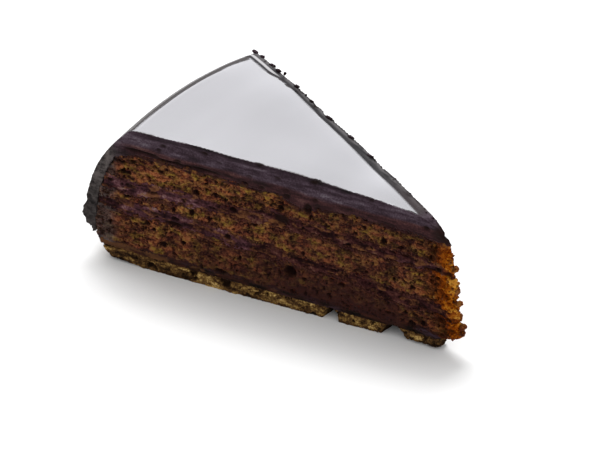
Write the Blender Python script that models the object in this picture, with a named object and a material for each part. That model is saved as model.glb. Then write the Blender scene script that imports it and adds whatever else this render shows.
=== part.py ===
"""A slice of layered chocolate cake, as cut from a round cake of about 26 cm.

The slice stands on its flat underside at z = 0. Its point is towards +X, its rounded rim towards -X,
and the two knife cuts face -Y (the front cut) and +Y (the back cut). From the bottom up it is a biscuit
base, a thin dark filling, three sponges with two creams between them, and a chocolate coating that
covers the top and hangs down over the rim. Every layer is a solid of its own that runs through the slice.

A spot in the slice is given by its distance from the cake's axis, by how far across it is, from -1 at
the front cut to +1 at the back cut, and by its height. All sizes below are in millimetres.
"""
import math

import bmesh
import bpy

MILLIMETRE = 0.001
NAME = "chocolate_cake_slice"

# The cut
FRONT_ANGLE = math.radians(16.5)     # each cut's angle to the middle of the slice
BACK_ANGLE = math.radians(15.8)
FRONT_LEAN = 0.045                   # how far each cut leans out, for each millimetre down from the top
BACK_LEAN = 0.030
POINT_BLUNTNESS = 6.0                # the two cuts don't quite meet: the point is crumbly and blunt
POINT_ROUNDING = 1.2
POINT_REACH = 5.6                    # how far the sponge's point stands past the axis, under the coating
POINT_LEAN = 0.13
BASE_POINT_REACH = 2.2               # the base has broken off short of the point

# The rim: a belly low down, undercut to the foot and drawn in to the shoulder
BELLY_RADIUS = 129.5
BELLY_HEIGHT = 11.5
FOOT_UNDERCUT = 7.5
FOOT_CURVE = 1.8
SHOULDER_HEIGHT = 45.2
SHOULDER_SETBACK = 8.5
SHOULDER_CURVE = 2.6
RIM_FLATTENING = 1.3                 # how far the middle of the rim falls short of a true circle

# The coating
TOP_HEIGHT = 55.0
COATING_SIDE = 4.2                   # thickness on the rim
COATING_FOOT = 12.5                  # where it ends above the ground
FOOT_WAVE = 1.1
FOOT_THICKNESS = 1.1                 # it thins out to its foot
FOOT_TAPER = 6.0
BEAD_HEIGHT = 18.5                   # the thick wavy bead that ran down and set
BEAD_SPREAD = 4.5
BEAD_SWELL = 0.8
SHOULDER_ROUNDING = 5.8
SHOULDER_TURN = math.radians(63)
NOSE_REACH = 1.5                     # the coating's front edge at the point
NOSE_DROP = 4.2
NOSE_LENGTH = 4.0

# Heights of the seams between the layers, as (distance from the axis, height)
BASE_UNDERSIDE = ((-10, 1.2), (12, 0.9), (24, 0.0), (108, 0.0), (122, 1.2), (130, 1.6))
FILLING_UNDERSIDE = ((-10, 4.4), (30, 4.2), (50, 4.5), (90, 4.6), (110, 5.0), (130, 5.8))
FILLING_TOP = ((-10, 6.5), (30, 6.3), (50, 6.5), (90, 6.7), (110, 7.2), (130, 8.0))
LOWER_CREAM_UNDERSIDE = ((-10, 14.8), (10, 14.8), (18, 14.1), (30, 17.8), (70, 18.5), (90, 20.3), (130, 21.3))
LOWER_CREAM_TOP = ((-10, 18.5), (10, 18.7), (18, 20.1), (30, 21.1), (70, 23.1), (90, 25.1), (130, 25.5))
UPPER_CREAM_UNDERSIDE = ((-10, 30.6), (30, 31.2), (50, 32.2), (62, 31.6), (80, 30.4), (110, 28.8), (130, 29.0))
UPPER_CREAM_TOP = ((-10, 35.0), (30, 35.4), (50, 36.6), (60, 37.6), (76, 35.3), (95, 34.3), (130, 34.0))
COATING_UNDERSIDE = ((-10, 43.8), (30, 44.5), (65, 44.9), (90, 45.0), (112, 45.6), (126, 41.4))
COATING_TOP = ((-10, 52.2), (10, 52.7), (30, 53.8), (55, 55.0), (80, 54.9), (92, 55.5), (104, 54.9), (130, 54.6))

# Waves of the seams away from the front cut, and the pocket where the coating ran into the sponge
SEAM_WAVE = 0.35
SEAM_WAVE_LENGTH = 9.0
TOP_WAVE = 0.15
TOP_WAVE_LENGTH = 16.0
BACK_SINK = 0.8                      # the knife drew the coating down at the back cut
POCKET_DISTANCE = 50.0
POCKET_LENGTH = 6.5
POCKET_ACROSS = 0.7
POCKET_DEPTH = 3.6

# How finely the solids are faceted, and how far neighbours stay apart
ALONG = 22
ALONG_CROWDING = 1.25                # above 1 the facets are smaller towards the point
ACROSS = 8
SHOULDER_STEPS = 3
SIDE_STEPS = 11
GAP = 0.3
RIM_GAP = 0.4


def smooth_between(points, position):
    """The value at a position, flowing without corners through (position, value) points."""
    for (start, low), (end, high) in zip(points, points[1:]):
        if position <= end:
            part = min(max((position - start) / (end - start), 0.0), 1.0)
            return low + (high - low) * part * part * (3 - 2 * part)
    return points[-1][1]


def seam_height(seam, distance, across):
    """Height of a seam between two layers, with its slight waves behind the front cut."""
    depth = 0.5 * (1 + across)
    phase = seam[0][1]
    wave = SEAM_WAVE * depth * math.sin(distance / SEAM_WAVE_LENGTH + 5 * depth + phase)
    return smooth_between(seam, distance) + wave


def coating_underside(distance, across):
    """The seam under the coating, which dips where the coating filled a pocket in the sponge."""
    along = (distance - POCKET_DISTANCE) / POCKET_LENGTH
    beside = (across + 1) / POCKET_ACROSS
    pocket = POCKET_DEPTH * math.exp(-along * along - beside * beside)
    return seam_height(COATING_UNDERSIDE, distance, across) - pocket


def coating_top(distance, across):
    """The top of the cake, nearly level, which sinks a little to the point and bends down at the nose."""
    wave = TOP_WAVE * math.sin(distance / TOP_WAVE_LENGTH + 2 * across) - BACK_SINK * max(across, 0.0) ** 4
    nose = NOSE_DROP * math.exp(-(distance + NOSE_REACH) / NOSE_LENGTH)
    return smooth_between(COATING_TOP, distance) + wave - nose


def rim_radius(height):
    """Radius of the sponges at the rim, without the coating."""
    if height < BELLY_HEIGHT:
        below = (BELLY_HEIGHT - height) / BELLY_HEIGHT
        return BELLY_RADIUS - FOOT_UNDERCUT * below ** FOOT_CURVE
    above = (height - BELLY_HEIGHT) / (SHOULDER_HEIGHT - BELLY_HEIGHT)
    return BELLY_RADIUS - SHOULDER_SETBACK * above ** SHOULDER_CURVE


def coating_thickness(height):
    """Thickness of the coating on the rim, which thins out as it curls in to its foot."""
    return smooth_between(((COATING_FOOT, FOOT_THICKNESS), (COATING_FOOT + FOOT_TAPER, COATING_SIDE)), height)


def coated_radius(height, across):
    """Radius of the rim with its coating, which swells into an uneven bead near its foot."""
    from_bead = (height - BEAD_HEIGHT) / BEAD_SPREAD
    unevenness = 0.6 + 0.4 * math.sin(9 * across + 0.3 * height)
    bead = BEAD_SWELL * unevenness * math.exp(-from_bead * from_bead)
    return rim_radius(height) + coating_thickness(height) + bead


def point_reach(height):
    """How far past the axis the sponge's point stands at a height."""
    return POINT_REACH + POINT_LEAN * max(SHOULDER_HEIGHT - height, 0.0)


def place(distance, across, height, roundness=0.0):
    """The point in metres of a spot in the slice. Roundness pulls the corners of the point back."""
    distance += roundness * POINT_ROUNDING * across * across
    distance -= RIM_FLATTENING * (1 - across * across) * max(distance / BELLY_RADIUS, 0.0) ** 4
    angle, lean = (FRONT_ANGLE, FRONT_LEAN) if across < 0 else (BACK_ANGLE, BACK_LEAN)
    angle *= across
    spread = 0.5 * (distance + math.hypot(distance, POINT_BLUNTNESS))
    x = -distance * math.cos(angle)
    y = spread * math.sin(angle) + across * lean * (TOP_HEIGHT - height)
    return x * MILLIMETRE, y * MILLIMETRE, height * MILLIMETRE


def grid_block(columns, levels):
    """A closed block of faces: a grid, extruded upwards once for each level above the first.

    Returns the block and a list of (vertex, column, across, level) for its shaping.
    """
    block = bmesh.new()
    bmesh.ops.create_grid(block, x_segments=columns, y_segments=ACROSS, size=0.5)
    top_faces = list(block.faces)
    for level in range(1, levels):
        extruded = bmesh.ops.extrude_face_region(block, geom=top_faces)["geom"]
        raised = [part for part in extruded if isinstance(part, bmesh.types.BMVert)]
        bmesh.ops.translate(block, verts=raised, vec=(0, 0, 1))
        if level > 1:
            bmesh.ops.delete(block, geom=top_faces, context="FACES_ONLY")
        top_faces = [part for part in extruded if isinstance(part, bmesh.types.BMFace)]
    spots = []
    for vertex in block.verts:
        column = round((vertex.co.x + 0.5) * columns)
        spots.append((vertex, column, 2 * vertex.co.y, round(vertex.co.z)))
    return block, spots


def finish(name, block, colour, roughness):
    """Turns a shaped block into the named object, with its own material, in the cake's collection."""
    bmesh.ops.recalc_face_normals(block, faces=block.faces)
    if block.calc_volume(signed=True) < 0:
        bmesh.ops.reverse_faces(block, faces=block.faces)
    mesh = bpy.data.meshes.new(name)
    block.to_mesh(mesh)
    block.free()
    material = bpy.data.materials.new(name)
    material.use_nodes = True
    shader = material.node_tree.nodes["Principled BSDF"]
    shader.inputs["Base Color"].default_value = (*colour, 1)
    shader.inputs["Roughness"].default_value = roughness
    mesh.materials.append(material)
    part = bpy.data.objects.new(name, mesh)
    bpy.data.collections[NAME].objects.link(part)
    return part


def way_along(column):
    """How far a column is from the point, 0, to the rim, 1. The columns crowd towards the point."""
    return min(column / ALONG, 1.0) ** ALONG_CROWDING


def layer_spot(column, across, share, underside, top, reach=None):
    """Distance and height of a spot that is a share of the way up from one seam to the next."""
    along = way_along(column)
    distance = along * BELLY_RADIUS
    # The seams follow the distance and the ends follow the height, so the two settle together
    for _ in range(4):
        low = underside(distance, across)
        height = low + share * (top(distance, across) - low)
        start = -point_reach(height) if reach is None else -reach
        distance = start + along * (rim_radius(height) - start)
    return distance, height


def layer(name, underside, top, colour, roughness, reach=None):
    """One layer of the cake, from the point to the rim, between two seams."""
    levels = 3
    block, spots = grid_block(ALONG, levels)
    for vertex, column, across, level in spots:
        distance, height = layer_spot(column, across, level / (levels - 1), underside, top, reach)
        vertex.co = place(distance, across, height, (1 - way_along(column)) ** 4)
    return finish(name, block, colour, roughness)


def above(seam):
    """The surface just above a seam, half a gap away from it."""
    return lambda distance, across: seam_height(seam, distance, across) + GAP / 2


def below(seam):
    """The surface just below a seam, half a gap away from it."""
    return lambda distance, across: seam_height(seam, distance, across) - GAP / 2


def base_underside(distance, across):
    """The underside, flat where the slice stands and raised a little at the point and at the foot."""
    return smooth_between(BASE_UNDERSIDE, distance)


def base_biscuit():
    return layer("base_biscuit", base_underside, below(FILLING_UNDERSIDE), (0.12, 0.07, 0.02), 0.9, BASE_POINT_REACH)


def dark_filling():
    return layer("dark_filling", above(FILLING_UNDERSIDE), below(FILLING_TOP), (0.01, 0.005, 0.004), 0.35,
                 BASE_POINT_REACH)


def sponge_bottom():
    return layer("sponge_bottom", above(FILLING_TOP), below(LOWER_CREAM_UNDERSIDE), (0.09, 0.04, 0.015), 0.95)


def cream_lower():
    return layer("cream_lower", above(LOWER_CREAM_UNDERSIDE), below(LOWER_CREAM_TOP), (0.03, 0.012, 0.015), 0.6)


def sponge_middle():
    return layer("sponge_middle", above(LOWER_CREAM_TOP), below(UPPER_CREAM_UNDERSIDE), (0.09, 0.04, 0.015), 0.95)


def cream_upper():
    return layer("cream_upper", above(UPPER_CREAM_UNDERSIDE), below(UPPER_CREAM_TOP), (0.03, 0.012, 0.015), 0.6)


def under_coating(distance, across):
    """The top of the sponges, half a gap below the coating."""
    return coating_underside(distance, across) - GAP / 2


def sponge_top():
    return layer("sponge_top", above(UPPER_CREAM_TOP), under_coating, (0.11, 0.05, 0.015), 0.95)


def coating_outside(column, across):
    """Distance and height on the coating's outer surface: over the top, round the shoulder, down the rim."""
    shoulder_end = TOP_HEIGHT - SHOULDER_ROUNDING * (1 - math.cos(SHOULDER_TURN))
    shoulder_start = coated_radius(shoulder_end, across) - SHOULDER_ROUNDING * math.sin(SHOULDER_TURN)
    if column <= ALONG:
        distance = -NOSE_REACH + way_along(column) * (shoulder_start + NOSE_REACH)
        return distance, coating_top(distance, across)
    if column <= ALONG + SHOULDER_STEPS:
        turn = SHOULDER_TURN * (column - ALONG) / SHOULDER_STEPS
        height = coating_top(shoulder_start, across) - SHOULDER_ROUNDING * (1 - math.cos(turn))
        return shoulder_start + SHOULDER_ROUNDING * math.sin(turn), height
    down = (column - ALONG - SHOULDER_STEPS) / SIDE_STEPS
    height = shoulder_end + down * (coating_foot(across) - shoulder_end)
    return coated_radius(height, across), height


def coating_inside(column, across):
    """Distance and height on the coating's inner surface: under the top, then down against the sponges."""
    distance, height = layer_spot(column, across, 1.0, under_coating, under_coating)
    height += GAP
    if column <= ALONG:
        return distance + way_along(column) * RIM_GAP, height
    down = (column - ALONG) / (SHOULDER_STEPS + SIDE_STEPS)
    height += down * (coating_foot(across) - height)
    return rim_radius(height) + RIM_GAP, height


def coating_foot(across):
    """Height of the coating's wavy lower edge on the rim."""
    return COATING_FOOT + FOOT_WAVE * math.sin(7 * across + 1.0)


def chocolate_coating():
    """The poured coating: a loft between its inner and its outer surface, which are shaped unlike."""
    block, spots = grid_block(ALONG + SHOULDER_STEPS + SIDE_STEPS, 2)
    for vertex, column, across, level in spots:
        surface = coating_outside if level else coating_inside
        distance, height = surface(column, across)
        vertex.co = place(distance, across, height, (1 - way_along(column)) ** 4)
    return finish("chocolate_coating", block, (0.012, 0.007, 0.006), 0.12)


def stand_at_centre(parts):
    """Moves the whole slice so that the centre of its box is over the origin."""
    for axis in (0, 1):
        spots = [vertex.co[axis] for part in parts for vertex in part.data.vertices]
        middle = (min(spots) + max(spots)) / 2
        for part in parts:
            for vertex in part.data.vertices:
                vertex.co[axis] -= middle


def build():
    for old in list(bpy.data.objects):
        bpy.data.objects.remove(old, do_unlink=True)
    bpy.context.scene.collection.children.link(bpy.data.collections.new(NAME))
    stand_at_centre([
        base_biscuit(),
        dark_filling(),
        sponge_bottom(),
        cream_lower(),
        sponge_middle(),
        cream_upper(),
        sponge_top(),
        chocolate_coating(),
    ])


build()
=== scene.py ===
# %% [markdown]
# # A slice of chocolate cake
#
# The real thing is a wedge cut from a round, layered cake: a biscuit base, a thin dark filling, three
# sponges with two creams between them, and a dark coating poured over the top and the rim. The solids of
# these layers come ready made, at their real size. This lesson gives each of them the surface of real
# food: torn crumb, smeared cream, brittle biscuit and mirror-smooth chocolate.

# %% Load the frame
import math

import bmesh
import bpy
import numpy as np
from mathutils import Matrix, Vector, noise
from mathutils.bvhtree import BVHTree


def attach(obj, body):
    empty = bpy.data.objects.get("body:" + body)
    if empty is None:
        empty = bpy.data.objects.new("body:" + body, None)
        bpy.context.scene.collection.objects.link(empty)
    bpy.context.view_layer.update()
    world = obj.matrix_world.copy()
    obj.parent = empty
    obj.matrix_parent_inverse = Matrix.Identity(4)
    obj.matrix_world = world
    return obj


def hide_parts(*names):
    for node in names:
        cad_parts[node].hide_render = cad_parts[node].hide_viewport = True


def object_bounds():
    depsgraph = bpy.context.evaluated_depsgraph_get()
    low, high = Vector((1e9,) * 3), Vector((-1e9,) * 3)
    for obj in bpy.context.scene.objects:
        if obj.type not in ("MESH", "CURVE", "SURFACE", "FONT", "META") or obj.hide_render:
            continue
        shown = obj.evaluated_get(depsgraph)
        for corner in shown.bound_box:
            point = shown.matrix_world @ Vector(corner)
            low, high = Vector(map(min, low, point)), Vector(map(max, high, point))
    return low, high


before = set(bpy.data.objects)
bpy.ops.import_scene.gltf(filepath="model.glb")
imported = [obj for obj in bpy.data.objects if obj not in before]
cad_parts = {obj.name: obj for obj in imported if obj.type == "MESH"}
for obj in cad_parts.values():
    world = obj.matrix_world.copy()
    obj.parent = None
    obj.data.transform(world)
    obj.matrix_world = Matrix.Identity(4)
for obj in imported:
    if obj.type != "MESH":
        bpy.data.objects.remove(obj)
cad_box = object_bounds()
low, high = cad_box
MM = 0.001
print("the slice measures", [round(side / MM, 1) for side in high - low], "mm")

# %% [markdown]
# ## Camera
#
# The slice is seen from above its front cut, with its point to the right. A very long lens far away
# keeps the cake's edges nearly parallel. The camera could be placed by hand and turned until it looks
# right. It is worked out from two angles instead, so that it always looks at the slice, however far
# away it stands.

# %% Place the camera
CAMERA_AZIMUTH = math.radians(42.0)
CAMERA_ELEVATION = math.radians(34.9)
CAMERA_DISTANCE = 6.0
VIEW_WIDTH = 0.2065                  # how much of the table the picture takes in, from side to side
AIM_RIGHT = -1.7 * MM                # where the camera aims, seen from the slice's origin
AIM_UP = 18.3 * MM
SENSOR = 36.0
CLIP_START = 0.05


def direction(azimuth, elevation):
    """The direction from the slice to something at an azimuth and an elevation."""
    flat = math.cos(elevation)
    return Vector((math.sin(azimuth) * flat, -math.cos(azimuth) * flat, math.sin(elevation)))


def aimed(thing, place, target):
    """Puts a camera or a light in its place, turned towards a target."""
    bpy.context.scene.collection.objects.link(thing)
    thing.location = place
    thing.rotation_euler = (place - target).to_track_quat("Z", "Y").to_euler()
    return thing


to_camera = direction(CAMERA_AZIMUTH, CAMERA_ELEVATION)
to_right = Vector((math.cos(CAMERA_AZIMUTH), math.sin(CAMERA_AZIMUTH), 0))
aim = to_right * AIM_RIGHT + to_camera.cross(to_right) * AIM_UP
lens = bpy.data.cameras.new("camera")
lens.sensor_width = SENSOR
lens.lens = SENSOR * CAMERA_DISTANCE / VIEW_WIDTH
lens.clip_start = CLIP_START
camera = aimed(bpy.data.objects.new("camera", lens), aim + to_camera * CAMERA_DISTANCE, aim)
bpy.context.scene.camera = camera
print("camera with a", round(lens.lens), "mm lens at", [round(c, 3) for c in camera.location])

# %% [markdown]
# ## Light and floor
#
# Dark chocolate shows its gloss only in what it mirrors. A large soft light stands behind the cake, just
# where the level top mirrors it into the camera, so the top shines pale while the cuts stay dark. A small
# lamp would give a hard, bright spot instead, so the panel is nearly a metre wide. From a lower or a
# higher view the top mirrors only a part of it, and fades from pale to dark.
#
# The white floor catches a soft shadow on the near side. Two more softboxes stand behind the cake, one
# to each side, and each lights up the end of the shadow that the other one casts, so that only the
# middle stays dark. A single light from behind would draw the shadow out past both ends of the slice.

# %% Light the slice
LIGHT_DISTANCE = 1.0
GLEAM_SIDES = 0.85, 0.56             # across and up: the panel that the top mirrors
GLEAM_RISE = math.radians(3.6)       # the top slopes down to its point, which mirrors higher things
GLEAM_TURN = math.radians(2.5)       # the top isn't quite level, so its mirror image lies a little aside
GLEAM_GLOW = 9.2                     # how much brighter it is than the white floor should look
GLEAM_COLOUR = (0.935, 0.945, 1.0)
SIDE_SIDES = 0.42, 0.42              # the softboxes that light the floor from behind
SIDE_GLOW = 9.1
LEFT_TURN = math.radians(34)         # how far each stands to its side
RIGHT_TURN = math.radians(10)
SIDE_ELEVATION = math.radians(60)
ROOM_GLOW = 0.76
FLOOR_SIDE = 8.0
FLOOR_WHITE = (0.85, 0.85, 0.85, 1)


def softbox(name, azimuth, elevation, sides, glow, colour=(1, 1, 1)):
    """A flat light that aims at the slice. Glow is its brightness, whatever its size."""
    panel = bpy.data.lights.new(name, "AREA")
    panel.shape = "RECTANGLE"
    panel.size, panel.size_y = sides
    panel.energy = glow * math.pi * panel.size * panel.size_y
    panel.color = colour
    place = direction(azimuth, elevation) * LIGHT_DISTANCE
    lamp = aimed(bpy.data.objects.new(name, panel), place, Vector((0, 0, 0)))
    lamp.visible_camera = False
    return lamp


behind = CAMERA_AZIMUTH + math.pi
mirrored = CAMERA_ELEVATION + GLEAM_TURN + GLEAM_RISE
gleam = softbox("gleam_panel", behind - GLEAM_TURN, mirrored, GLEAM_SIDES, GLEAM_GLOW, GLEAM_COLOUR)
gleam.visible_diffuse = False        # only mirrors see it, or its long shadow would reach the camera
softbox("left_softbox", behind + LEFT_TURN, SIDE_ELEVATION, SIDE_SIDES, SIDE_GLOW)
right = softbox("right_softbox", behind - RIGHT_TURN, SIDE_ELEVATION, SIDE_SIDES, SIDE_GLOW)
right.visible_glossy = False         # or the sloping end of the top would mirror it as a bright spot
room = bpy.data.worlds.new("room")
room.use_nodes = True
backdrop = room.node_tree.nodes["Background"]
backdrop.inputs["Color"].default_value = (1, 1, 1, 1)
backdrop.inputs["Strength"].default_value = ROOM_GLOW
bpy.context.scene.world = room
bpy.context.scene.view_settings.view_transform = "Standard"

bpy.ops.mesh.primitive_plane_add(size=FLOOR_SIDE)
floor = bpy.context.object
floor.name = "floor"
white = bpy.data.materials.new("white_floor")
white.use_nodes = True
shader = white.node_tree.nodes["Principled BSDF"]
shader.inputs["Base Color"].default_value = FLOOR_WHITE
shader.inputs["Roughness"].default_value = 1.0
shader.inputs["Specular IOR Level"].default_value = 0.0
floor.data.materials.append(white)
print("softboxes", GLEAM_SIDES, "and", SIDE_SIDES, "m; floor", FLOOR_SIDE, "m wide")

# %% [markdown]
# ## Node expressions
#
# Relief and colour both come from node trees. Adding each node and link by hand hides the sum that the
# tree works out, so one small class wraps a socket and lets Python's operators add the Math nodes. Any
# other node comes from its `add` method, for materials and for geometry alike.

# %% Wires, whose sums are nodes
def sums(operation, turned=False):
    """A method for one of Python's operators. It adds a Math node, with the wire second if turned."""
    def method(wire, other):
        values = (other, wire) if turned else (wire, other)
        return wire.add("ShaderNodeMath", {"operation": operation}, dict(enumerate(values)))
    return method


class Wire:
    """A socket of a node tree. Sums of wires and numbers add the tree's Math nodes."""
    __add__ = __radd__ = sums("ADD")
    __mul__ = __rmul__ = sums("MULTIPLY")
    __sub__ = sums("SUBTRACT")
    __rsub__ = sums("SUBTRACT", turned=True)
    __truediv__ = sums("DIVIDE")
    __rtruediv__ = sums("DIVIDE", turned=True)

    def __init__(self, tree, socket=None):
        self.tree = tree
        self.socket = socket

    def add(self, kind, settings=None, inputs=None, output=0):
        """Adds a node: first its settings, then the values or links of its sockets. Gives one output."""
        node = self.tree.nodes.new(kind)
        for name, setting in (settings or {}).items():
            if name == "stops":
                set_stops(node.color_ramp, setting)
            else:
                setattr(node, name, setting)
        for name, value in (inputs or {}).items():
            if isinstance(value, Wire):
                self.tree.links.new(value.socket, node.inputs[name])
            else:
                node.inputs[name].default_value = value
        return Wire(self.tree, node.outputs[output])

    def also(self, output):
        """Another output of the node that this wire comes from."""
        return Wire(self.tree, self.socket.node.outputs[output])

    def math(self, operation, *others):
        """A Math node on this wire and others."""
        return self.add("ShaderNodeMath", {"operation": operation}, dict(enumerate((self, *others))))

    def size(self):
        """The wire without its sign."""
        return self.math("ABSOLUTE")

    def larger(self, other):
        """This wire or the other, whichever is larger."""
        return self.math("MAXIMUM", other)

    def step(self, start, end, low=0.0, high=1.0):
        """A smooth step from low to high as the wire goes from start to end."""
        settings = {"interpolation_type": "SMOOTHSTEP"}
        return self.add("ShaderNodeMapRange", settings, {0: self, 1: start, 2: end, 3: low, 4: high})

    def vector(self, operation, *others, output=0):
        """A Vector Math node on this wire and others."""
        inputs = dict(enumerate((self, *others)))
        return self.add("ShaderNodeVectorMath", {"operation": operation}, inputs, output)

    def dot(self, other):
        """How far this vector reaches along another one."""
        return self.vector("DOT_PRODUCT", other, output="Value")

    def scaled(self, factor):
        """A vector times a number or a wire."""
        return self.add("ShaderNodeVectorMath", {"operation": "SCALE"}, {0: self, "Scale": factor})

    def stretched(self, across, up):
        """The place to read a pattern at, so that it is drawn out sideways and upwards by two factors."""
        return self.vector("DIVIDE", (across, across, up))

    def joined(self, *sides):
        """A vector made of three numbers or wires."""
        return self.add("ShaderNodeCombineXYZ", inputs=dict(enumerate(sides)))

    def axis(self, number):
        """One axis of a vector: 0, 1 or 2."""
        return self.add("ShaderNodeSeparateXYZ", inputs={0: self}, output=number)

    def noise(self, size, detail=2.0, roughness=0.5, output=0):
        """Cloudy noise from 0 to 1, mostly near 0.5, with clouds of about a size in metres."""
        inputs = {"Vector": self, "Scale": 1 / size, "Detail": detail, "Roughness": roughness}
        return self.add("ShaderNodeTexNoise", inputs=inputs, output=output)

    def waves(self, size, detail=2.0):
        """The same noise, from -1 to 1."""
        return (self.noise(size, detail) - 0.5) * 2.0

    def swirls(self, size):
        """The same noise as a vector, which pushes a point to any side by up to a half."""
        return self.noise(size, output="Color").vector("SUBTRACT", (0.5, 0.5, 0.5))

    def cells(self, size):
        """Distance to the middle of the nearest of many cells. Its node also gives each cell a colour."""
        return self.add("ShaderNodeTexVoronoi", inputs={"Vector": self, "Scale": 1 / size})

    def ramp(self, stops):
        """The colour at this wire's place in a colour ramp."""
        return self.add("ShaderNodeValToRGB", {"stops": stops}, {0: self})

    def blend(self, first, second):
        """A colour that goes from the first to the second as this wire goes from 0 to 1."""
        ends = [end if isinstance(end, Wire) else (*end, 1) for end in (first, second)]
        settings = {"data_type": "RGBA"}
        return self.add("ShaderNodeMix", settings, {0: self, 6: ends[0], 7: ends[1]}, output=2)


def set_stops(ramp, places):
    """Gives a colour ramp its stops, each a position and a colour."""
    while len(ramp.elements) < len(places):
        ramp.elements.new(1.0)
    for element, (position, colour) in zip(ramp.elements, places):
        element.position = position
        element.color = (*colour, 1)


print("wires are ready")

# %% [markdown]
# ## Finer meshes
#
# Each ready-made layer is a block of large flat facets. Torn crumb needs points a fraction of a
# millimetre apart, but only on the sides that show: the faces between two layers stay hidden. The block
# is therefore remeshed with tiny even squares, and the hidden middle of its top and underside is
# dissolved into one flat face each, which keeps the mesh small.

# %% Fine blocks
CRUMB_MESH = 0.40 * MM
HIDDEN_MARGIN = 7                    # rows of fine faces kept along the edges of a hidden face
LEVEL = 0.8                          # how upright a normal is on a level face
WELD = 0.001 * MM                    # points closer than this are one point


def merged(name):
    """A bmesh of a ready-made layer, whose loose triangles are joined along their edges."""
    block = bmesh.new()
    block.from_mesh(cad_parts[name].data)
    bmesh.ops.remove_doubles(block, verts=block.verts, dist=WELD)
    return block


def new_object(name, block):
    """An object made of a bmesh, which is freed."""
    mesh = bpy.data.meshes.new(name)
    block.to_mesh(mesh)
    block.free()
    piece = bpy.data.objects.new(name, mesh)
    bpy.context.scene.collection.objects.link(piece)
    return piece


def applied(piece):
    """Turns an object's modifiers into plain mesh."""
    shown = piece.evaluated_get(bpy.context.evaluated_depsgraph_get())
    mesh = bpy.data.meshes.new_from_object(shown)
    mesh.name = piece.name
    piece.modifiers.clear()
    piece.data = mesh
    return piece


def remeshed(piece, spacing):
    """Gives a closed piece an even mesh of small squares."""
    remesh = piece.modifiers.new("even mesh", "REMESH")
    remesh.mode = "VOXEL"
    remesh.voxel_size = spacing
    return applied(piece)


def dissolve_hidden(piece, facing):
    """Dissolves the middle of the level faces that face up (1) or down (-1) into one face."""
    block = bmesh.new()
    block.from_mesh(piece.data)
    block.normal_update()
    level = {face for face in block.faces if face.normal.z * facing > LEVEL}
    for _ in range(HIDDEN_MARGIN):
        corners = {corner for face in level for corner in face.verts}
        rim = {corner for corner in corners if not level.issuperset(corner.link_faces)}
        level = {face for face in level if rim.isdisjoint(face.verts)}
    bmesh.ops.dissolve_faces(block, faces=list(level), use_verts=True)
    block.to_mesh(piece.data)
    block.free()


def fine_layer(name, node):
    """A finely meshed copy of a layer, with its hidden faces thinned out."""
    piece = remeshed(new_object(name, merged(node)), CRUMB_MESH)
    dissolve_hidden(piece, 1)
    dissolve_hidden(piece, -1)
    return piece


# %% Trees for geometry
def new_tree(name, numbers):
    """A geometry tree that takes a piece, named numbers and a material. Gives its input wires too."""
    tree = bpy.data.node_groups.new(name, "GeometryNodeTree")
    tree.interface.new_socket("Geometry", in_out="OUTPUT", socket_type="NodeSocketGeometry")
    tree.interface.new_socket("Geometry", in_out="INPUT", socket_type="NodeSocketGeometry")
    for number in numbers:
        tree.interface.new_socket(number, in_out="INPUT", socket_type="NodeSocketFloat")
    tree.interface.new_socket("Material", in_out="INPUT", socket_type="NodeSocketMaterial")
    given = tree.nodes.new("NodeGroupInput")
    return tree, {socket.name: Wire(tree, socket) for socket in given.outputs if socket.name}


def end_tree(geometry, material):
    """Ends a tree: instances become real and the result takes its material."""
    real = geometry.add("GeometryNodeRealizeInstances", inputs={"Geometry": geometry})
    painted = real.add("GeometryNodeSetMaterial", inputs={"Geometry": real, "Material": material})
    end = painted.tree.nodes.new("NodeGroupOutput")
    painted.tree.links.new(painted.socket, end.inputs[0])


def grow(piece, tree, values):
    """Runs a tree on a piece and keeps the result as plain mesh."""
    modifier = piece.modifiers.new(tree.name, "NODES")
    modifier.node_group = tree
    for item in tree.interface.items_tree:
        if item.in_out == "INPUT" and item.name in values:
            modifier[item.identifier] = values[item.name]
    return applied(piece)


def kept(geometry, **marks):
    """Stores numbers on the points of a geometry, for its material."""
    settings = {"data_type": "FLOAT", "domain": "POINT"}
    for name, value in marks.items():
        inputs = {"Geometry": geometry, "Name": name, "Value": value}
        geometry = geometry.add("GeometryNodeStoreNamedAttribute", settings, inputs)
    return geometry


def shaped(geometry, **change):
    """Moves the points of a geometry to a Position, or by an Offset, and smooths its shading."""
    moved = geometry.add("GeometryNodeSetPosition", inputs={"Geometry": geometry, **change})
    return moved.add("GeometryNodeSetShadeSmooth", inputs={"Geometry": moved, "Shade Smooth": True})


print("hidden faces keep", HIDDEN_MARGIN, "rows of", CRUMB_MESH / MM, "mm")

# %% [markdown]
# ## What the layers look like
#
# Sponge is a froth of baked cocoa dough: its torn walls are golden brown, and its pores are painted nearly
# black with the shade that falls in them. One flat brown would look like clay. The colour is mixed from
# the relief itself, which the geometry trees below store on the points, so that low spots get painted
# shade, and from clouds and grains of a few sizes, because real crumb has light and dark at every scale.

# %% Materials and their shared patterns
def shader_of(material):
    return material.node_tree.nodes["Principled BSDF"]


def new_material(name, **constants):
    """A material with the constants on its shader. Gives the material and a wire to start from."""
    material = bpy.data.materials.new(name)
    material.use_nodes = True
    for socket, value in constants.items():
        shader_of(material).inputs[socket.replace("_", " ")].default_value = value
    return material, Wire(material.node_tree)


def finish(material, height, depth, **parts):
    """Links the parts of a finish, such as its Base_Color, to its shader, with a fine bump of a depth."""
    bump = height.add("ShaderNodeBump", inputs={"Strength": 1.0, "Distance": depth, "Height": height})
    for socket, wire in {**parts, "Normal": bump}.items():
        material.node_tree.links.new(wire.socket, shader_of(material).inputs[socket.replace("_", " ")])
    print("finish:", material.name)
    return material


def spot(wires):
    """The place on a piece, in metres."""
    return wires.add("ShaderNodeTexCoord", output="Object")


def stored(wires, name):
    """A number that a geometry tree stored on the points."""
    return wires.add("ShaderNodeAttribute", {"attribute_name": name}, output="Fac")


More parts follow.
